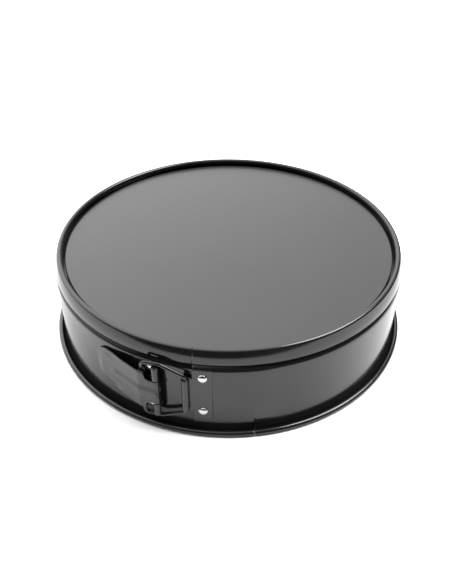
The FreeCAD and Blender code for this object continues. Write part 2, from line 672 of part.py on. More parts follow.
# ---------------------------------------------------------------------------------------------
# The wire link: one bent wire, its leg in the catch barrel and its tips at the lever's ears
# ---------------------------------------------------------------------------------------------
def make_wire_link():
    """A round wire swept along its bent middle line."""
    tip = size("lever_width") / 2 + size("tip_gap")
    arm = size("link_half_width")
    shoulder = size("link_shoulder")
    slope = size("link_slope_run")
    corners = [(link_length, tip), (link_length, arm), (slope, arm), (0, shoulder),
               (0, -shoulder), (slope, -arm), (link_length, -arm), (link_length, -tip)]
    bend = size("link_bend")
    pieces = bent_line(corners, [bend, 2 * bend, bend, bend, 2 * bend, bend])
    heading = (ear_axis - catch_axis).normalize()
    path = Part.Wire([beside(piece, 0)[0] for piece in pieces])
    ring = Part.Wire([Part.makeCircle(size("wire_radius"), Vector(link_length, 0, tip), Vector(0, 0, 1))])
    shape = path.makePipeShell([ring], True, False)
    shape.rotate(Vector(0, 0, 0), Vector(0, 0, 1), math.degrees(math.atan2(heading.y, heading.x)))
    shape.translate(catch_axis + Vector(0, 0, latch_height))
    return shape


wire_link = doc.addObject("Part::Feature", "wire_link")
wire_link.Label = "wire_link"
wire_link.Shape = make_wire_link()

# ---------------------------------------------------------------------------------------------
# Check and write
# ---------------------------------------------------------------------------------------------
doc.recompute()
for item in doc.Objects:
    if "Invalid" in item.State or "Error" in item.State:
        raise RuntimeError("%s failed: %s" % (item.Name, item.State))

os.makedirs("parts", exist_ok=True)
nodes = [base_plate, band_back, band_left, band_right, lever_bracket, hinge_pin, lever,
         wire_link, catch_bracket] + rivets
for node in nodes:
    shape = node.Shape
    if shape.isNull() or not shape.isValid():
        raise RuntimeError("%s has no valid shape" % node.Label)
    shape.exportStep("parts/%s.step" % node.Label)
    box = shape.BoundBox
    print("%-18s %9.1f mm3  solids %d  x %.2f..%.2f  y %.2f..%.2f  z %.2f..%.2f"
          % (node.Label, shape.Volume, len(shape.Solids), box.XMin, box.XMax, box.YMin, box.YMax,
             box.ZMin, box.ZMax))
print("link length %.3f, rim outside radius %.3f" % (link_length, rim_outside))
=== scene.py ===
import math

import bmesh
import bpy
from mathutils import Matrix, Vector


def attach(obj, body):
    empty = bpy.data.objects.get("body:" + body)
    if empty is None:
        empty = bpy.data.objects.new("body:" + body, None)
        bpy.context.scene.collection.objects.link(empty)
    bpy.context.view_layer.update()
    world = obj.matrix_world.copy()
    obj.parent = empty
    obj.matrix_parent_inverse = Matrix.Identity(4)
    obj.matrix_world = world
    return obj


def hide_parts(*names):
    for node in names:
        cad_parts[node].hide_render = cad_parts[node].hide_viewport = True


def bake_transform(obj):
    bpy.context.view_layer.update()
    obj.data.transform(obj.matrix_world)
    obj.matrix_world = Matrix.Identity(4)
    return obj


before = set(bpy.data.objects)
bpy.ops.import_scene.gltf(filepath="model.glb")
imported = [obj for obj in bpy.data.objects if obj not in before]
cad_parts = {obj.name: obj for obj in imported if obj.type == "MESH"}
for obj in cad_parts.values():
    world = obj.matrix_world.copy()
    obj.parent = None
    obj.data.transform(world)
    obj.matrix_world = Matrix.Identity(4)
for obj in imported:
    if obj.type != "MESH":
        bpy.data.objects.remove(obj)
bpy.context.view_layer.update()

# %% [markdown]
# # A springform pan, standing on its mouth
#
# A springform pan is a ring of sprung sheet steel round a loose base.  A latch pulls the ring shut,
# so that its channel grips the base, and lets it spring open round the finished cake.  The packed
# model already has every piece in its real place, so the lesson is about surfaces: sheet that is
# rolled, bent and pressed, and a dark baked coating that shows its shape almost only by what it
# mirrors. All lengths are in millimetres until a mesh is made, and then in metres.

MM = 0.001
WALL = 130.3

# %% [markdown]
# ## Camera
# A short lens close to the pan gives the strong perspective of a small object seen from a table's
# edge.  The camera is placed by its distance from the pan's axis, its height and its tilt, which are
# easier to adjust than three coordinates and three angles.

# %% Camera
CAMERA_REACH = 420.3
CAMERA_HEIGHT = 345.1
CAMERA_SIDE = 10.0
CAMERA_TILT = 38.04
CAMERA_PAN = 0.27
CAMERA_LENS = 40.68


def around(radius, azimuth, height=0.0):
    """A point in mm at a radius from the axis, degrees from the front towards the right, and a height."""
    turn = math.radians(azimuth)
    return Vector((radius * math.sin(turn), -radius * math.cos(turn), height))


camera_data = bpy.data.cameras.new("table_camera")
camera = bpy.data.objects.new("table_camera", camera_data)
bpy.context.scene.collection.objects.link(camera)
camera_data.lens = CAMERA_LENS
camera_data.clip_start = 0.01
camera.location = around(CAMERA_REACH, CAMERA_SIDE, CAMERA_HEIGHT) * MM
camera.rotation_euler = (math.radians(90 - CAMERA_TILT), 0, math.radians(CAMERA_SIDE + CAMERA_PAN))
bpy.context.scene.camera = camera
print("camera at", [round(v, 3) for v in camera.location])

# %% [markdown]
# ## Light and floor
# Dark glossy things are lit by what they mirror.  A large soft panel overhead draws the bright lines
# along every roll, a broad glow behind fills the flat base with an even grey, and the white floor
# lights the wall from below.  The rest of the room stays dark, because a plain white sky would
# flatten all of it.  The board ends a little in front of the pan, so that the channel mirrors the
# dark room.

# %% Light and floor
PANEL_PLACE = (1.0, 0.3, 1.7)
PANEL_SIZE = 1.1
PANEL_BRIGHTNESS = 17.8
GLOW_FROM = Vector((-0.5, 0.42, 0.76)).normalized()
GLOW_EDGE = 0.35
GLOW_BRIGHTNESS = 5.8
ROOM_BRIGHTNESS = 0.05

panel_data = bpy.data.lights.new("overhead_panel", "AREA")
panel_data.size = PANEL_SIZE
panel_data.energy = PANEL_BRIGHTNESS * math.pi * PANEL_SIZE ** 2
panel = bpy.data.objects.new("overhead_panel", panel_data)
bpy.context.scene.collection.objects.link(panel)
panel.location = PANEL_PLACE
panel.rotation_euler = (Vector((0, 0, 0.03)) - Vector(PANEL_PLACE)).to_track_quat("-Z", "Y").to_euler()

world = bpy.data.worlds.new("studio")
bpy.context.scene.world = world
world.use_nodes = True
sky_nodes = world.node_tree.nodes
sky_links = world.node_tree.links
sky_nodes.clear()
sky_place = sky_nodes.new("ShaderNodeTexCoord")
glow_angle = sky_nodes.new("ShaderNodeVectorMath")
glow_angle.operation = "DOT_PRODUCT"
glow_angle.inputs[1].default_value = GLOW_FROM
glow = sky_nodes.new("ShaderNodeMapRange")
glow.inputs["From Min"].default_value = GLOW_EDGE
glow.inputs["From Max"].default_value = 1.0
glow.inputs["To Min"].default_value = ROOM_BRIGHTNESS
glow.inputs["To Max"].default_value = GLOW_BRIGHTNESS
sky = sky_nodes.new("ShaderNodeBackground")
sky_out = sky_nodes.new("ShaderNodeOutputWorld")
sky_links.new(sky_place.outputs["Generated"], glow_angle.inputs[0])
sky_links.new(glow_angle.outputs["Value"], glow.inputs["Value"])
sky_links.new(glow.outputs["Result"], sky.inputs["Strength"])
sky_links.new(sky.outputs["Background"], sky_out.inputs["Surface"])
bpy.context.scene.view_settings.view_transform = "Standard"
bpy.context.scene.view_settings.look = "None"

FLOOR_HALF = 3.0
FLOOR_FRONT = -0.36


def floor_material():
    """White studio board with a barely visible tooth."""
    board = bpy.data.materials.new("white_board")
    board.use_nodes = True
    nodes, links = board.node_tree.nodes, board.node_tree.links
    shader = nodes["Principled BSDF"]
    shader.inputs["Roughness"].default_value = 0.9
    shader.inputs["Specular IOR Level"].default_value = 0.0
    tooth = nodes.new("ShaderNodeTexNoise")
    tooth.inputs["Scale"].default_value = 40.0
    tint = nodes.new("ShaderNodeValToRGB")
    tint.color_ramp.elements[0].color = (0.86, 0.86, 0.86, 1)
    tint.color_ramp.elements[1].color = (0.88, 0.88, 0.88, 1)
    links.new(tooth.outputs["Fac"], tint.inputs["Fac"])
    links.new(tint.outputs["Color"], shader.inputs["Base Color"])
    return board


floor_mesh = bpy.data.meshes.new("floor")
floor_mesh.from_pydata([(-FLOOR_HALF, FLOOR_FRONT, 0), (FLOOR_HALF, FLOOR_FRONT, 0),
                        (FLOOR_HALF, FLOOR_HALF, 0), (-FLOOR_HALF, FLOOR_HALF, 0)], [], [(0, 1, 2, 3)])
floor_mesh.materials.append(floor_material())
floor = bpy.data.objects.new("floor", floor_mesh)
bpy.context.scene.collection.objects.link(floor)
print("panel brightness", PANEL_BRIGHTNESS, "glow", GLOW_BRIGHTNESS, "room", ROOM_BRIGHTNESS)

# %% [markdown]
# ## The dark coating
# The coating is a thin baked polymer with a semi-gloss skin.  Under it the steel doesn't show, so it
# is a dark dielectric, not a metal.  Three things keep it from looking like plain plastic: a fine
# orange-peel bump, roughness that drifts slowly over the sheet, and a tone that drifts with it.  The
# same recipe serves the ring, the base and the latch, each with its own gloss.

# %% Coating recipe
def coating(name, dark, light, gloss_low, gloss_high, peel, peel_scale=520.0, drift_scale=14.0):
    """A baked dark coating: tone and roughness that drift over the sheet, and an orange-peel bump."""
    made = bpy.data.materials.new(name)
    made.use_nodes = True
    nodes, links = made.node_tree.nodes, made.node_tree.links
    shader = nodes["Principled BSDF"]
    shader.inputs["IOR"].default_value = 1.42
    place = nodes.new("ShaderNodeTexCoord")
    drift = nodes.new("ShaderNodeTexNoise")
    drift.inputs["Scale"].default_value = drift_scale
    drift.inputs["Detail"].default_value = 3.0
    tone = nodes.new("ShaderNodeValToRGB")
    tone.color_ramp.interpolation = "EASE"
    tone.color_ramp.elements[0].position = 0.15
    tone.color_ramp.elements[0].color = (*dark, 1)
    tone.color_ramp.elements[1].position = 0.85
    tone.color_ramp.elements[1].color = (*light, 1)
    gloss = nodes.new("ShaderNodeMapRange")
    gloss.interpolation_type = "SMOOTHSTEP"
    gloss.inputs["From Min"].default_value = 0.1
    gloss.inputs["From Max"].default_value = 0.9
    gloss.inputs["To Min"].default_value = gloss_low
    gloss.inputs["To Max"].default_value = gloss_high
    grain = nodes.new("ShaderNodeTexNoise")
    grain.inputs["Scale"].default_value = peel_scale
    grain.inputs["Detail"].default_value = 2.0
    bump = nodes.new("ShaderNodeBump")
    bump.inputs["Strength"].default_value = peel
    bump.inputs["Distance"].default_value = 0.02 * MM
    links.new(place.outputs["Object"], drift.inputs["Vector"])
    links.new(place.outputs["Object"], grain.inputs["Vector"])
    links.new(drift.outputs["Fac"], tone.inputs["Fac"])
    links.new(tone.outputs["Color"], shader.inputs["Base Color"])
    links.new(drift.outputs["Fac"], gloss.inputs["Value"])
    links.new(gloss.outputs["Result"], shader.inputs["Roughness"])
    links.new(grain.outputs["Fac"], bump.inputs["Height"])
    links.new(bump.outputs["Normal"], shader.inputs["Normal"])
    return made


ring_coat = coating("ring_coat", (0.006, 0.006, 0.0062), (0.009, 0.009, 0.0093), 0.12, 0.16, 0.15)
base_coat = coating("base_coat", (0.010, 0.010, 0.0102), (0.014, 0.014, 0.0143), 0.26, 0.30, 0.2)
latch_coat = coating("latch_coat", (0.007, 0.007, 0.0072), (0.011, 0.011, 0.0113), 0.16, 0.22, 0.20, 700.0)
wire_coat = coating("wire_coat", (0.006, 0.006, 0.0062), (0.009, 0.009, 0.0093), 0.12, 0.16, 0.15, 900.0)
print("coatings:", ring_coat.name, base_coat.name, latch_coat.name, wire_coat.name)

# %% [markdown]
# ## Painted shade at the foot above the rim
# The foot of the wall, where it bends into the rim, is nearly black.  Shape and light alone left it
# too bright, so the ring's coat is given no shine there: this is painted shade.  It is a fitted look: the
# real coating isn't known to change at the foot.  The zone is found from height and radius, so the rim
# itself keeps its bright line.

# %% Painted shade at the foot
FOOT_RISE = (8.5, 12.5)
RIM_EDGE = (WALL + 1.7, WALL + 2.3)
FULL_SHINE = 0.5


def painted_shade_foot(made):
    """Paint shade on a coat by taking off its shine below FOOT_RISE, but only inside RIM_EDGE."""
    nodes, links = made.node_tree.nodes, made.node_tree.links
    place = nodes.new("ShaderNodeTexCoord")
    split = nodes.new("ShaderNodeSeparateXYZ")
    flat = nodes.new("ShaderNodeCombineXYZ")
    reach = nodes.new("ShaderNodeVectorMath")
    reach.operation = "LENGTH"
    above = nodes.new("ShaderNodeMapRange")
    beyond = nodes.new("ShaderNodeMapRange")
    for part, (low, high) in ((above, FOOT_RISE), (beyond, RIM_EDGE)):
        part.interpolation_type = "SMOOTHSTEP"
        part.inputs["From Min"].default_value = low * MM
        part.inputs["From Max"].default_value = high * MM
        part.inputs["To Min"].default_value = 0.0
        part.inputs["To Max"].default_value = FULL_SHINE
    shine = nodes.new("ShaderNodeMath")
    shine.operation = "MAXIMUM"
    links.new(place.outputs["Object"], split.inputs["Vector"])
    links.new(split.outputs["X"], flat.inputs["X"])
    links.new(split.outputs["Y"], flat.inputs["Y"])
    links.new(flat.outputs["Vector"], reach.inputs[0])
    links.new(split.outputs["Z"], above.inputs["Value"])
    links.new(reach.outputs["Value"], beyond.inputs["Value"])
    links.new(above.outputs["Result"], shine.inputs[0])
    links.new(beyond.outputs["Result"], shine.inputs[1])
    links.new(shine.outputs["Value"], nodes["Principled BSDF"].inputs["Specular IOR Level"])


# Painted shade: the ring's coat loses its shine at the foot of the wall.
painted_shade_foot(ring_coat)
print("dull from", FOOT_RISE, "mm up, inside radius", RIM_EDGE)

# %% [markdown]
# ## Plated steel
# The rivets are the only bright pieces.  A plated head is a metal with a fine uneven grain, so a
# noise varies both its tone and its roughness.

# %% Plated steel
def plated_steel(name):
    """Plating with a fine grain in its tone and roughness."""
    made = bpy.data.materials.new(name)
    made.use_nodes = True
    nodes, links = made.node_tree.nodes, made.node_tree.links
    shader = nodes["Principled BSDF"]
    shader.inputs["Metallic"].default_value = 1.0
    place = nodes.new("ShaderNodeTexCoord")
    marks = nodes.new("ShaderNodeTexNoise")
    marks.inputs["Scale"].default_value = 1400.0
    tone = nodes.new("ShaderNodeValToRGB")
    tone.color_ramp.elements[0].color = (0.36, 0.36, 0.37, 1)
    tone.color_ramp.elements[1].color = (0.46, 0.46, 0.46, 1)
    gloss = nodes.new("ShaderNodeMapRange")
    gloss.inputs["To Min"].default_value = 0.2
    gloss.inputs["To Max"].default_value = 0.32
    links.new(place.outputs["Object"], marks.inputs["Vector"])
    links.new(marks.outputs["Fac"], tone.inputs["Fac"])
    links.new(tone.outputs["Color"], shader.inputs["Base Color"])
    links.new(marks.outputs["Fac"], gloss.inputs["Value"])
    links.new(gloss.outputs["Result"], shader.inputs["Roughness"])
    return made


rivet_metal = plated_steel("rivet_metal")
print("metal:", rivet_metal.name)

# %% [markdown]
# ## Dressing the pieces that keep their engineering shape
# The base, the pin and the rivets are simple turned or stamped shapes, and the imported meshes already
# have them right.  They only get a finish.

# %% Base, pin and rivets
FINISHES = {
    "base_plate": base_coat,
    "hinge_pin": latch_coat,
    "catch_rivet_upper": rivet_metal,
    "catch_rivet_lower": rivet_metal,
    "lever_rivet_upper": rivet_metal,
    "lever_rivet_lower": rivet_metal,
}
for node_name, finish in FINISHES.items():
    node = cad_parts[node_name]
    node.data.materials.clear()
    node.data.materials.append(finish)
print("dressed:", sorted(FINISHES))

# %% [markdown]
# ## The ring's section
# The ring is one strip, roll-formed to a section that never changes on its way round: a rolled bead
# over the base, a channel that holds the base's edge, the plain wall, and a flange that ends in a
# rolled rim.  The section is drawn once as the middle line of the sheet, with real bend radii,
# because the bends are what catch the light.

# %% Section of the strip
GAUGE = 0.6
WALL_TOP = 57.0
LAP = 0.94
ARC_STEP = 10.0

bead_centre = (WALL - 3.95, WALL_TOP + 11.5)
BEAD_ROLL = 1.8
BEAD_SWEEP = 285.0
BEAD_LEAVES = 17.0
leaving = math.radians(BEAD_LEAVES)
bead_side = (bead_centre[0] + BEAD_ROLL * math.cos(leaving), bead_centre[1] + BEAD_ROLL * math.sin(leaving))
CROWN_RISE = 6.5
FLARE_ANGLE = 17.0
RIM_ROLL = 1.95
RIM_SWEEP = 290.0
flare = math.radians(FLARE_ANGLE)
rim_centre = (WALL + 3.85, RIM_ROLL + GAUGE / 2)
flare_end = (rim_centre[0] - RIM_ROLL * math.cos(flare), rim_centre[1] - RIM_ROLL * math.sin(flare))
wall_foot = (WALL, flare_end[1] + (flare_end[0] - WALL) / math.tan(flare))
STRIP_CORNERS = [
    bead_side,
    (bead_side[0] + (bead_side[1] - WALL_TOP - CROWN_RISE) * math.tan(leaving), WALL_TOP + CROWN_RISE),
    (WALL - 0.55, WALL_TOP + 3.6),
    (WALL - 3.3, WALL_TOP + 2.9),
    (WALL, WALL_TOP - 1.0),
    wall_foot,
    flare_end,
]
STRIP_BENDS = [20.0, 0.5, 1.3, 3.0, 12.0]


def arc_points(centre, radius, first, sweep):
    """Points along an arc, in degrees, both ends included."""
    count = max(4, math.ceil(abs(sweep) / ARC_STEP))
    turns = [math.radians(first + sweep * k / count) for k in range(count + 1)]
    return [(centre[0] + radius * math.cos(t), centre[1] + radius * math.sin(t)) for t in turns]


def bent_line(corners, radii):
    """Points along straight runs with a bend at each inner corner."""
    line = [corners[0]]
    for before, corner, after, radius in zip(corners, corners[1:], corners[2:], radii):
        head_in = math.atan2(corner[1] - before[1], corner[0] - before[0])
        head_out = math.atan2(after[1] - corner[1], after[0] - corner[0])
        turn = (head_out - head_in + math.pi) % (2 * math.pi) - math.pi
        side = math.copysign(1.0, turn)
        trim = radius * math.tan(abs(turn) / 2)
        start = (corner[0] - trim * math.cos(head_in), corner[1] - trim * math.sin(head_in))
        centre = (start[0] - side * radius * math.sin(head_in), start[1] + side * radius * math.cos(head_in))
        line += arc_points(centre, radius, math.degrees(head_in) - side * 90, math.degrees(turn))
    return line + [corners[-1]]


def left_of(line):
    """The unit direction to the left of a line at each of its points."""
    sides = []
    for k in range(len(line)):
        a, b = line[max(0, k - 1)], line[min(len(line) - 1, k + 1)]
        length = math.hypot(b[0] - a[0], b[1] - a[1]) or 1.0
        sides.append((-(b[1] - a[1]) / length, (b[0] - a[0]) / length))
    return sides


def without_repeats(line):
    """A line without points that repeat the one before."""
    kept = [line[0]]
    for point in line[1:]:
        if math.hypot(point[0] - kept[-1][0], point[1] - kept[-1][1]) > 0.02:
            kept.append(point)
    return kept


bead_line = arc_points(bead_centre, BEAD_ROLL, BEAD_SWEEP, BEAD_LEAVES - BEAD_SWEEP)
rim_line = arc_points(rim_centre, RIM_ROLL, 180 + FLARE_ANGLE, RIM_SWEEP)
upper_line = without_repeats(bead_line + bent_line(STRIP_CORNERS[:-1], STRIP_BENDS[:-1])[:-1])
flare_line = bent_line(STRIP_CORNERS[-3:], STRIP_BENDS[-1:])[1:]
wall_line = [(WALL, WALL_TOP - drop) for drop in (4.0, 16.0, 29.0, 41.5)]
strip_line = without_repeats(upper_line + wall_line + flare_line + rim_line)
TAIL_DROP = 2.0
WALL_PLAIN_END = 13.2
tail_start = next(k for k, p in enumerate(strip_line) if p[1] < WALL_TOP - TAIL_DROP)
wall_end = next(k for k, p in enumerate(strip_line) if p[1] < WALL_PLAIN_END)
print("section points:", len(strip_line), "tail from", tail_start, "flare from", wall_end)

# %% [markdown]
# ## Sweeping sheet round the axis
# A revolved sheet could be a Screw modifier with a Solidify on top, but the two ends of this strip
# differ from its middle: one slides under the other and stops early.  So the sheet is built column by
# column, each column being the section at one azimuth, and neighbouring columns are joined wherever
# both have sheet.

# %% Sheet from columns
def sheet_mesh(name, columns):
    """A closed sheet.  A column is (azimuth, first index, middle line, half thickness)."""
    verts, faces, ids = [], [], []
    for azimuth, first, line, half in columns:
        outer, inner = {}, {}
        for k, (point, side) in enumerate(zip(line, left_of(line))):
            if k < first:
                continue
            outer[k] = len(verts)
            verts.append(around(point[0] + side[0] * half, azimuth, point[1] + side[1] * half) * MM)
            inner[k] = len(verts)
            verts.append(around(point[0] - side[0] * half, azimuth, point[1] - side[1] * half) * MM)
        ids.append((outer, inner, first, len(line) - 1))
    for (o1, i1, f1, last), (o2, i2, f2, last2) in zip(ids, ids[1:]):
        first = max(f1, f2)
        for k in range(first, last):
            faces.append((o1[k], o1[k + 1], o2[k + 1], o2[k]))
            faces.append((i1[k + 1], i1[k], i2[k], i2[k + 1]))
        faces.append((o1[last], i1[last], i2[last], o2[last]))
        faces.append((i1[first], o1[first], o2[first], i2[first]))
        if f2 > f1:
            faces += [(i1[k], i1[k + 1], o1[k + 1], o1[k]) for k in range(f1, f2)]
    for (outer, inner, first, last), flip in ((ids[0], False), (ids[-1], True)):
        for k in range(first, last):
            face = (outer[k], outer[k + 1], inner[k + 1], inner[k])
            faces.append(tuple(reversed(face)) if not flip else face)
    mesh = bpy.data.meshes.new(name)
    mesh.from_pydata(verts, [], faces)
    mesh.update()
    return mesh


def finish_piece(name, mesh, material, sharp=35.0):
    """A smooth-shaded piece with its finish and material slot, not yet on a body."""
    work = bmesh.new()
    work.from_mesh(mesh)
    bmesh.ops.recalc_face_normals(work, faces=work.faces)
    work.to_mesh(mesh)
    work.free()
    mesh.shade_smooth()
    mesh.set_sharp_from_angle(angle=math.radians(sharp))
    mesh.materials.append(material)
    piece = bpy.data.objects.new(name, mesh)
    bpy.context.scene.collection.objects.link(piece)
    return piece


HALF = GAUGE / 2


def steps(first, last, width):
    """Evenly spaced azimuths from first to last."""
    count = max(1, math.ceil((last - first) / width))
    return [first + (last - first) * k / count for k in range(count + 1)]


# %% [markdown]
# ## The left half of the ring, with the tail that slides under the tab
# Two sheets meet at the back, where the ring never moves, and run forward to the latch.  The left half
# loses its bead where the right half's tab begins, and goes on under the tab as a thin tail.

# %% Left half of the ring
BUTT = 0.085
TAIL_END = 17.3
left_columns = [(a, 0, strip_line, HALF) for a in steps(-180, -20, 1.0) + steps(-19.5, -BUTT, 0.5)]
left_columns += [(a, tail_start, strip_line, HALF) for a in steps(BUTT, TAIL_END - 0.25, 0.5)]
left_columns += [(TAIL_END - 0.08, tail_start, strip_line, HALF * 0.95),
                 (TAIL_END, tail_start, strip_line, HALF * 0.6)]
ring_left = finish_piece("ring_strip_left", sheet_mesh("ring_strip_left", left_columns), ring_coat)
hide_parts("band_left", "band_back")
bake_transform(ring_left)
print("left half:", len(ring_left.data.vertices), "points")

# %% [markdown]
# ## The right half, with its outer tab
# The tab lies over the tail, so its wall is moved out by one gauge and a little air.  The channel
# above stays even all round, and the tail starts below it.  The tab has no flare: it stops above the
# rim, drops in a short flap past the tail's end, and the flare then opens out of the flap.

# %% Right half of the ring
TAB_END = 18.2
JOGGLE_END = 27.0
FLAP_START = 17.45
TAB_FOOT = 9.4
FLAP_FOOT = 3.2
FLARE_START = 17.4
FLARE_FULL = 17.9


def ease(value):
    """A smooth step from 0 to 1."""
    value = min(1.0, max(0.0, value))
    return value * value * (3 - 2 * value)


def right_line(azimuth):
    """The right half's middle line at an azimuth: tab, joggle, flap or full section."""
    out = LAP * (1 - ease((azimuth - TAB_END) / (JOGGLE_END - TAB_END)))
    grown = ease((azimuth - FLARE_START) / (FLARE_FULL - FLARE_START))
    foot = TAB_FOOT if azimuth < FLAP_START - 0.01 else FLAP_FOOT
    line = []
    sides = left_of(strip_line)
    last = len(strip_line) - 1
    for k, (point, side) in enumerate(zip(strip_line, sides)):
        shift = out * ease((WALL_TOP + 3.0 - point[1]) / 4.0)
        x, z = point[0] + side[0] * shift, point[1] + side[1] * shift
        if k >= wall_end:
            down = (k - wall_end) / (last - wall_end)
            flat_x = WALL + out
            flat_z = WALL_PLAIN_END - (WALL_PLAIN_END - foot) * down
            x = flat_x + (point[0] - flat_x) * grown
            z = flat_z + (point[1] - flat_z) * grown
        line.append((x, z))
    return line


tab_azimuths = steps(BUTT, 17.0, 0.5)
flap_azimuths = [17.3, 17.42, 17.5] + steps(17.6, 18.4, 0.1) + steps(18.6, 22.0, 0.2)
right_azimuths = tab_azimuths + flap_azimuths + steps(22.5, 180, 1.0)
right_columns = [(BUTT, 0, right_line(BUTT), HALF * 0.6), (BUTT + 0.08, 0, right_line(BUTT), HALF * 0.95)]
right_columns += [(a, 0, right_line(a), HALF) for a in right_azimuths[1:]]
ring_right = finish_piece("ring_strip_right", sheet_mesh("ring_strip_right", right_columns), ring_coat)
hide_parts("band_right")
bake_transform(ring_right)
print("right half:", len(ring_right.data.vertices), "points")

# %% [markdown]
# ## Pressed sheet with rounded edges
# Lever, brackets and ears are 1 mm sheet with rounded edges.  A Bevel modifier struggles on sheet
# that is also rolled into a barrel.  Here a flat grid is laid over the blank, each point knows how
# far it lies inside the outline, and the thickness closes in a half circle towards the edge.  The
# grid is then wrapped on its path in plan, seen from above.

# %% Pressed sheet
SHEET_HALF = 0.5
EDGE_STEPS = [0.0, 0.03, 0.12, 0.27, 0.5]


def plan_path(points):
    """A function from distance along a line to point and left-hand direction, and the line's length."""
    fine = [points[0]]
    for a, b in zip(points, points[1:]):
        count = max(1, math.ceil(math.hypot(b[0] - a[0], b[1] - a[1]) / 1.5))
        fine += [(a[0] + (b[0] - a[0]) * k / count, a[1] + (b[1] - a[1]) * k / count)
                 for k in range(1, count + 1)]
    fine = without_repeats(fine)
    sides = left_of(fine)
    marks = [0.0]
    for a, b in zip(fine, fine[1:]):
        marks.append(marks[-1] + math.hypot(b[0] - a[0], b[1] - a[1]))

    def place(distance):
        k = min(len(marks) - 2, max(0, next((i for i, m in enumerate(marks) if m > distance), 1) - 1))
        if distance >= marks[-1]:
            k = len(marks) - 2
        share = (distance - marks[k]) / (marks[k + 1] - marks[k])
        mix = [fine[k][i] + (fine[k + 1][i] - fine[k][i]) * share for i in (0, 1)]
        side = [sides[k][i] + (sides[k + 1][i] - sides[k][i]) * share for i in (0, 1)]
        length = math.hypot(*side)
        return mix, (side[0] / length, side[1] / length)

    return place, marks[-1]


def spread(low, high, width):
    """Distances from low to high, close together at both ends for the rounded edges."""
    inner_low, inner_high = low + EDGE_STEPS[-1], high - EDGE_STEPS[-1]
    return ([low + e for e in EDGE_STEPS[:-1]] + steps(inner_low, inner_high, width)
            + [high - e for e in reversed(EDGE_STEPS[:-1])])


def pressed_sheet(name, stations, rows, gap, place, middle, relief=None):
    """A wrapped sheet with rounded edges.  rows(s) are heights from the latch's middle."""
    verts, faces, grid = [], [], []
    for s in stations:
        (x, y), side = place(s)
        column = []
        for v in rows(s):
            inside = gap(s, v)
            if inside < -1e-6:
                column.append(None)
                continue
            share = min(1.0, inside / SHEET_HALF)
            half = SHEET_HALF * math.sqrt(max(0.0, 1 - (1 - share) ** 2))
            lift = relief(s, v) if relief else 0.0
            front = len(verts)
            verts.append(Vector((x + side[0] * (lift + half), y + side[1] * (lift + half), middle + v)) * MM)
            if half < 1e-3:
                column.append((front, front))
                continue
            verts.append(Vector((x + side[0] * (lift - half), y + side[1] * (lift - half), middle + v)) * MM)
            column.append((front, front + 1))
        grid.append(column)
    for first, second in zip(grid, grid[1:]):
        for a, b, c, d in zip(first, first[1:], second[1:], second):
            if None in (a, b, c, d):
                continue
            for layer in (0, 1):
                ring = []
                for corner in (a, b, c, d):
                    if corner[layer] not in ring:
                        ring.append(corner[layer])
                if len(ring) > 2:
                    faces.append(ring if layer == 0 else ring[::-1])
    mesh = bpy.data.meshes.new(name)
    mesh.from_pydata(verts, [], faces)
    mesh.update()
    return mesh


LATCH_HEIGHT = 36.0
WALL_OUT = 130.6
BARREL = 1.85
hinge = around(WALL_OUT + 5.4, -9.7)
catch = around(WALL_OUT + 3.4, -1.7)
print("hinge at", [round(v, 2) for v in hinge[:2]], "catch at", [round(v, 2) for v in catch[:2]])

# %% [markdown]
# ## The lever
# One blank: a knuckle rolled round the pin, a neck that passes between the bracket's barrels,
# shoulders, and a long tongue with a pressed rib and an edge that is turned down towards the wall.

# %% Lever
NECK = 9.9
TONGUE = 15.8
TIP_ROUND = 12.5
LEVER_ROLL = 290.0
RIB_HALF = 4.6
RIB_PROUD = 0.9
outward = math.degrees(math.atan2(*reversed(around(1, -9.7)[:2])))
blade_bend = around(WALL_OUT + 7.4, -14.3)
blade_tip = around(WALL_OUT + 1.7, -31.9)
lever_roll = arc_points(hinge[:2], BARREL, outward + LEVER_ROLL, -LEVER_ROLL)
lever_line = lever_roll + bent_line([lever_roll[-1], tuple(blade_bend[:2]), tuple(blade_tip[:2])], [6.0])[1:]
lever_place, lever_length = plan_path(lever_line)
blade_length = (blade_tip - blade_bend).length
bend_at = lever_length - blade_length
roll_end = BARREL * math.radians(LEVER_ROLL)


def lever_half(s):
    """Half the blank's width at a distance along it."""
    beyond = s - bend_at
    if beyond > blade_length - TIP_ROUND:
        run = min(TIP_ROUND, beyond - (blade_length - TIP_ROUND))
        return TONGUE - TIP_ROUND + math.sqrt(TIP_ROUND ** 2 - run ** 2)
    neck = NECK + 1.4 * ease((s - roll_end - 2.7) / 4.0)
    return neck + (TONGUE - neck) * ease((beyond + 4.6) / 1.2)


def lever_gap(s, v):
    """How far a point lies inside the lever's outline."""
    run = s - bend_at - (blade_length - TIP_ROUND)
    rise = abs(v) - (TONGUE - TIP_ROUND)
    if run > 0 and rise > 0:
        return max(0.0, TIP_ROUND - math.hypot(run, rise))
    return max(0.0, min(lever_half(s) - abs(v), s, lever_length - s))


def lever_relief(s, v):
    """The rib stands proud and the tongue's edge is turned down."""
    beyond = s - bend_at
    past = max(0.0, beyond - 22.5, -10.0 - beyond)
    inside = RIB_HALF - math.hypot(past, v)
    rib = RIB_PROUD * ease(inside / (4.2 if v > 0 else 2.0))
    edge = 0.8 * (1 - ease((lever_gap(s, v) - 0.5) / 6.5)) * ease((beyond - 14) / 14)
    return rib - edge


def lever_rows(s):
    """Heights across the blank, close together at its edges."""
    half = lever_half(s)
    return spread(-half, half, 2 * (half - EDGE_STEPS[-1]) / 56)


lever_stations = spread(0.0, lever_length, 0.45)
lever_piece = finish_piece("lever_tongue", pressed_sheet(
    "lever_tongue", lever_stations, lever_rows, lever_gap, lever_place, LATCH_HEIGHT, lever_relief),
    latch_coat, 50.0)
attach(lever_piece, "lever")
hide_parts("lever")
print("lever:", len(lever_piece.data.vertices), "points, length", round(lever_length, 1))

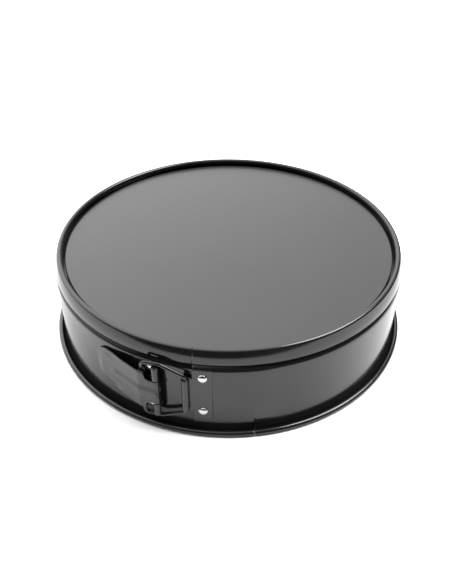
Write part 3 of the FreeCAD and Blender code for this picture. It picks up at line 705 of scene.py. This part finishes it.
# %% [markdown]
# ## The lever's ears
# Two flanges are folded in from the tongue's shoulders, and the wire link turns in their holes.  Seen
# from above an ear is a round end on a short stem with a hole, so it is built as a ring from the hole
# to the outline.

# %% Ears
EAR_ROUND = 2.3
EAR_HOLE = 1.45
CRANK = 9.5
OVER_CENTRE = 14.0
dead_centre = (hinge - catch).normalized()
turn = math.radians(-OVER_CENTRE)
crank_way = Vector((dead_centre.x * math.cos(turn) - dead_centre.y * math.sin(turn),
                    dead_centre.x * math.sin(turn) + dead_centre.y * math.cos(turn), 0))
ear = hinge + crank_way * CRANK
neck_way = Vector((blade_bend.x - lever_roll[-1][0], blade_bend.y - lever_roll[-1][1], 0)).normalized()
neck_out = Vector((-neck_way.y, neck_way.x, 0))
ear_depth = (blade_bend - ear).dot(neck_out)


def ear_reach(direction):
    """How far an ear reaches from its hole's centre in a direction."""
    out, along = direction.dot(neck_out), abs(direction.dot(neck_way))
    if out <= 0:
        return EAR_ROUND
    return min(EAR_ROUND / max(along, 1e-6), ear_depth / out)


def ear_mesh(name, low, high):
    """A flat ring from the hole to the ear's outline, between two heights, with softened edges."""
    soft = 0.2
    loops = [(EAR_HOLE + soft, 0, high), (0, 1 - soft / EAR_ROUND, high), (0, 1, high - soft),
             (0, 1, low + soft), (0, 1 - soft / EAR_ROUND, low), (EAR_HOLE + soft, 0, low),
             (EAR_HOLE, 0, low + soft), (EAR_HOLE, 0, high - soft)]
    count = 48
    verts, faces = [], []
    for fixed, share, height in loops:
        for k in range(count):
            way = Vector((math.cos(2 * math.pi * k / count), math.sin(2 * math.pi * k / count), 0))
            reach = fixed + share * ear_reach(way)
            verts.append((ear + way * reach + Vector((0, 0, height))) * MM)
    for ring in range(len(loops)):
        following = (ring + 1) % len(loops)
        for k in range(count):
            after = (k + 1) % count
            faces.append((ring * count + k, ring * count + after, following * count + after,
                          following * count + k))
    mesh = bpy.data.meshes.new(name)
    mesh.from_pydata(verts, [], faces)
    mesh.update()
    return mesh


EARS = (("lever_ear_upper", TONGUE - 1.0, TONGUE), ("lever_ear_lower", -TONGUE, 1.0 - TONGUE))
for name, low, high in EARS:
    ear_piece = finish_piece(name, ear_mesh(name, LATCH_HEIGHT + low, LATCH_HEIGHT + high), latch_coat,
                             50.0)
    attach(ear_piece, "lever")
print("ears at", [round(v, 2) for v in ear[:2]], "depth", round(ear_depth, 2))

# %% [markdown]
# ## The bracket under the lever
# A plate lies on the wall under the lever.  Its edge is cut into two fingers, turned up and rolled
# round the pin, one above and one below the lever's knuckle.

# %% Lever bracket
FINGER_ROLL = 280.0
BRACKET_HALF = 21.0
KNUCKLE_GAP = 10.2
PLATE_MIDDLE = WALL_OUT + SHEET_HALF
finger_roll = arc_points(hinge[:2], BARREL, outward - 90 + FINGER_ROLL, -FINGER_ROLL)
web_root = around(PLATE_MIDDLE, -9.7 - math.degrees(BARREL / WALL_OUT))
web_corner = bent_line([finger_roll[-1], tuple(web_root[:2]), tuple(around(PLATE_MIDDLE, -11.6)[:2])], [1.2])
plate_line = [tuple(around(PLATE_MIDDLE, -a)[:2]) for a in steps(11.9, 17.2, 0.6)]
bracket_place, bracket_length = plan_path(finger_roll + web_corner[1:] + plate_line)
finger_end = BARREL * math.radians(FINGER_ROLL) + 4.2


def bracket_gap(s, v):
    """How far a point lies inside the bracket's outline."""
    side = min(BRACKET_HALF - abs(v), bracket_length - s)
    if abs(v) < KNUCKLE_GAP:
        return min(side, s - finger_end)
    if s < finger_end:
        return max(0.0, min(side, abs(v) - KNUCKLE_GAP, s))
    return max(0.0, side)


bracket_rows = (spread(-BRACKET_HALF, -KNUCKLE_GAP, 1.0) + spread(-KNUCKLE_GAP, KNUCKLE_GAP, 1.0)[1:]
                + spread(KNUCKLE_GAP, BRACKET_HALF, 1.0)[1:])
bracket_stations = spread(0.0, finger_end, 0.4) + spread(finger_end, bracket_length, 0.8)[1:]
bracket_piece = finish_piece("lever_plate", pressed_sheet(
    "lever_plate", bracket_stations, lambda s: bracket_rows, bracket_gap, bracket_place, LATCH_HEIGHT),
    latch_coat, 50.0)
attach(bracket_piece, "ring_left")
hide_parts("lever_bracket")
print("lever bracket:", len(bracket_piece.data.vertices), "points")

# %% [markdown]
# ## The catch bracket
# The plate on the tab is wider than its barrel.  The sheet runs to the left under the link's wire and
# rolls up over it, so the barrel is open towards the plate.

# %% Catch bracket
CATCH_ROLL = 300.0
CATCH_HALF = 21.5
CATCH_BARREL = 14.0
CATCH_MIDDLE = WALL_OUT + LAP + SHEET_HALF
catch_in = math.degrees(math.atan2(*reversed(around(-1, -1.7)[:2])))
catch_line = [tuple(around(CATCH_MIDDLE + 0.15 * ease((3 - a) / 4), a)[:2]) for a in
              [5.7 - 0.5 * k for k in range(14)]]
catch_line += arc_points(catch[:2], BARREL, catch_in, CATCH_ROLL)
catch_place, catch_length = plan_path(catch_line)
neck_start = math.radians(5.7 - 0.1) * CATCH_MIDDLE


def catch_gap(s, v):
    """How far a point lies inside the catch bracket's outline."""
    if abs(v) > CATCH_BARREL:
        return min(CATCH_HALF - abs(v), s, neck_start - s)
    narrow = CATCH_BARREL - abs(v)
    if s < neck_start:
        narrow = math.hypot(narrow, neck_start - s)
        return max(0.0, min(s, CATCH_HALF - abs(v), narrow))
    return max(0.0, min(narrow, catch_length - s))


catch_rows = (spread(-CATCH_HALF, -CATCH_BARREL, 1.0) + spread(-CATCH_BARREL, CATCH_BARREL, 1.4)[1:]
              + spread(CATCH_BARREL, CATCH_HALF, 1.0)[1:])
catch_stations = spread(0.0, neck_start, 0.7) + spread(neck_start, catch_length, 0.4)[1:]
catch_piece = finish_piece("catch_plate", pressed_sheet(
    "catch_plate", catch_stations, lambda s: catch_rows, catch_gap, catch_place, LATCH_HEIGHT),
    latch_coat, 50.0)
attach(catch_piece, "ring_right")
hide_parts("catch_bracket")
print("catch bracket:", len(catch_piece.data.vertices), "points")

# %% [markdown]
# ## The wire link
# Round wire bent into a closed frame.  The straight leg turns in the catch barrel, the arms slope out
# past the hinge barrels and their tips point into the ears.  The wire lies in one plane, so a tube
# along its middle line needs no twist control: every ring uses the plane's own normal.

# %% Wire link
WIRE = 1.3
END_DEPTH = 0.25
END_DOT = 0.05
LINK_ARM = 22.8
LINK_SHOULDER = 16.2
LINK_SLOPE = 16.0
TIP = TONGUE + 0.3
link_way = (ear - catch).normalized()
link_length = (ear - catch).length
link_corners = [(link_length, TIP), (link_length, LINK_ARM), (LINK_SLOPE, LINK_ARM), (0, LINK_SHOULDER),
                (0, -LINK_SHOULDER), (LINK_SLOPE, -LINK_ARM), (link_length, -LINK_ARM), (link_length, -TIP)]
link_line = without_repeats(bent_line(link_corners, [3.4, 5.2, 2.6, 2.6, 5.2, 3.4]))


def rounded_end(point, left, order, radius):
    """Three rings that close a wire in a rounded tip, from the tip inwards."""
    back = (left[1] * order, -left[0] * order)
    inside = (point[0] + back[0] * END_DEPTH, point[1] + back[1] * END_DEPTH)
    return [(point, left, END_DOT), (point, left, radius * 0.6), (inside, left, radius * 0.92)]


def wire_mesh(name, line, radius, sides=20):
    """A round wire along a line in the link's plane, with rounded ends."""
    across = Vector((link_way.y, -link_way.x, 0))
    lefts = left_of(line)
    head, tail = rounded_end(line[0], lefts[0], 1, radius), rounded_end(line[-1], lefts[-1], -1, radius)
    rings = head + [(p, left, radius) for p, left in zip(line[1:-1], lefts[1:-1])] + tail[::-1]
    verts, faces = [], []
    for (along, up), left, reach in rings:
        centre = catch + link_way * along + Vector((0, 0, LATCH_HEIGHT + up))
        side = link_way * left[0] + Vector((0, 0, left[1]))
        for k in range(sides):
            way = side * math.cos(2 * math.pi * k / sides) + across * math.sin(2 * math.pi * k / sides)
            verts.append((centre + way * reach) * MM)
    for ring in range(len(rings) - 1):
        for k in range(sides):
            after = (k + 1) % sides
            faces.append((ring * sides + k, ring * sides + after, (ring + 1) * sides + after,
                          (ring + 1) * sides + k))
    faces.append(tuple(range(sides)))
    faces.append(tuple(reversed(range(len(verts) - sides, len(verts)))))
    mesh = bpy.data.meshes.new(name)
    mesh.from_pydata(verts, [], faces)
    mesh.update()
    return mesh


wire_piece = finish_piece("wire_loop", wire_mesh("wire_loop", link_line, WIRE), wire_coat, 60.0)
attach(wire_piece, "link")
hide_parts("wire_link")
print("wire link:", len(wire_piece.data.vertices), "points")
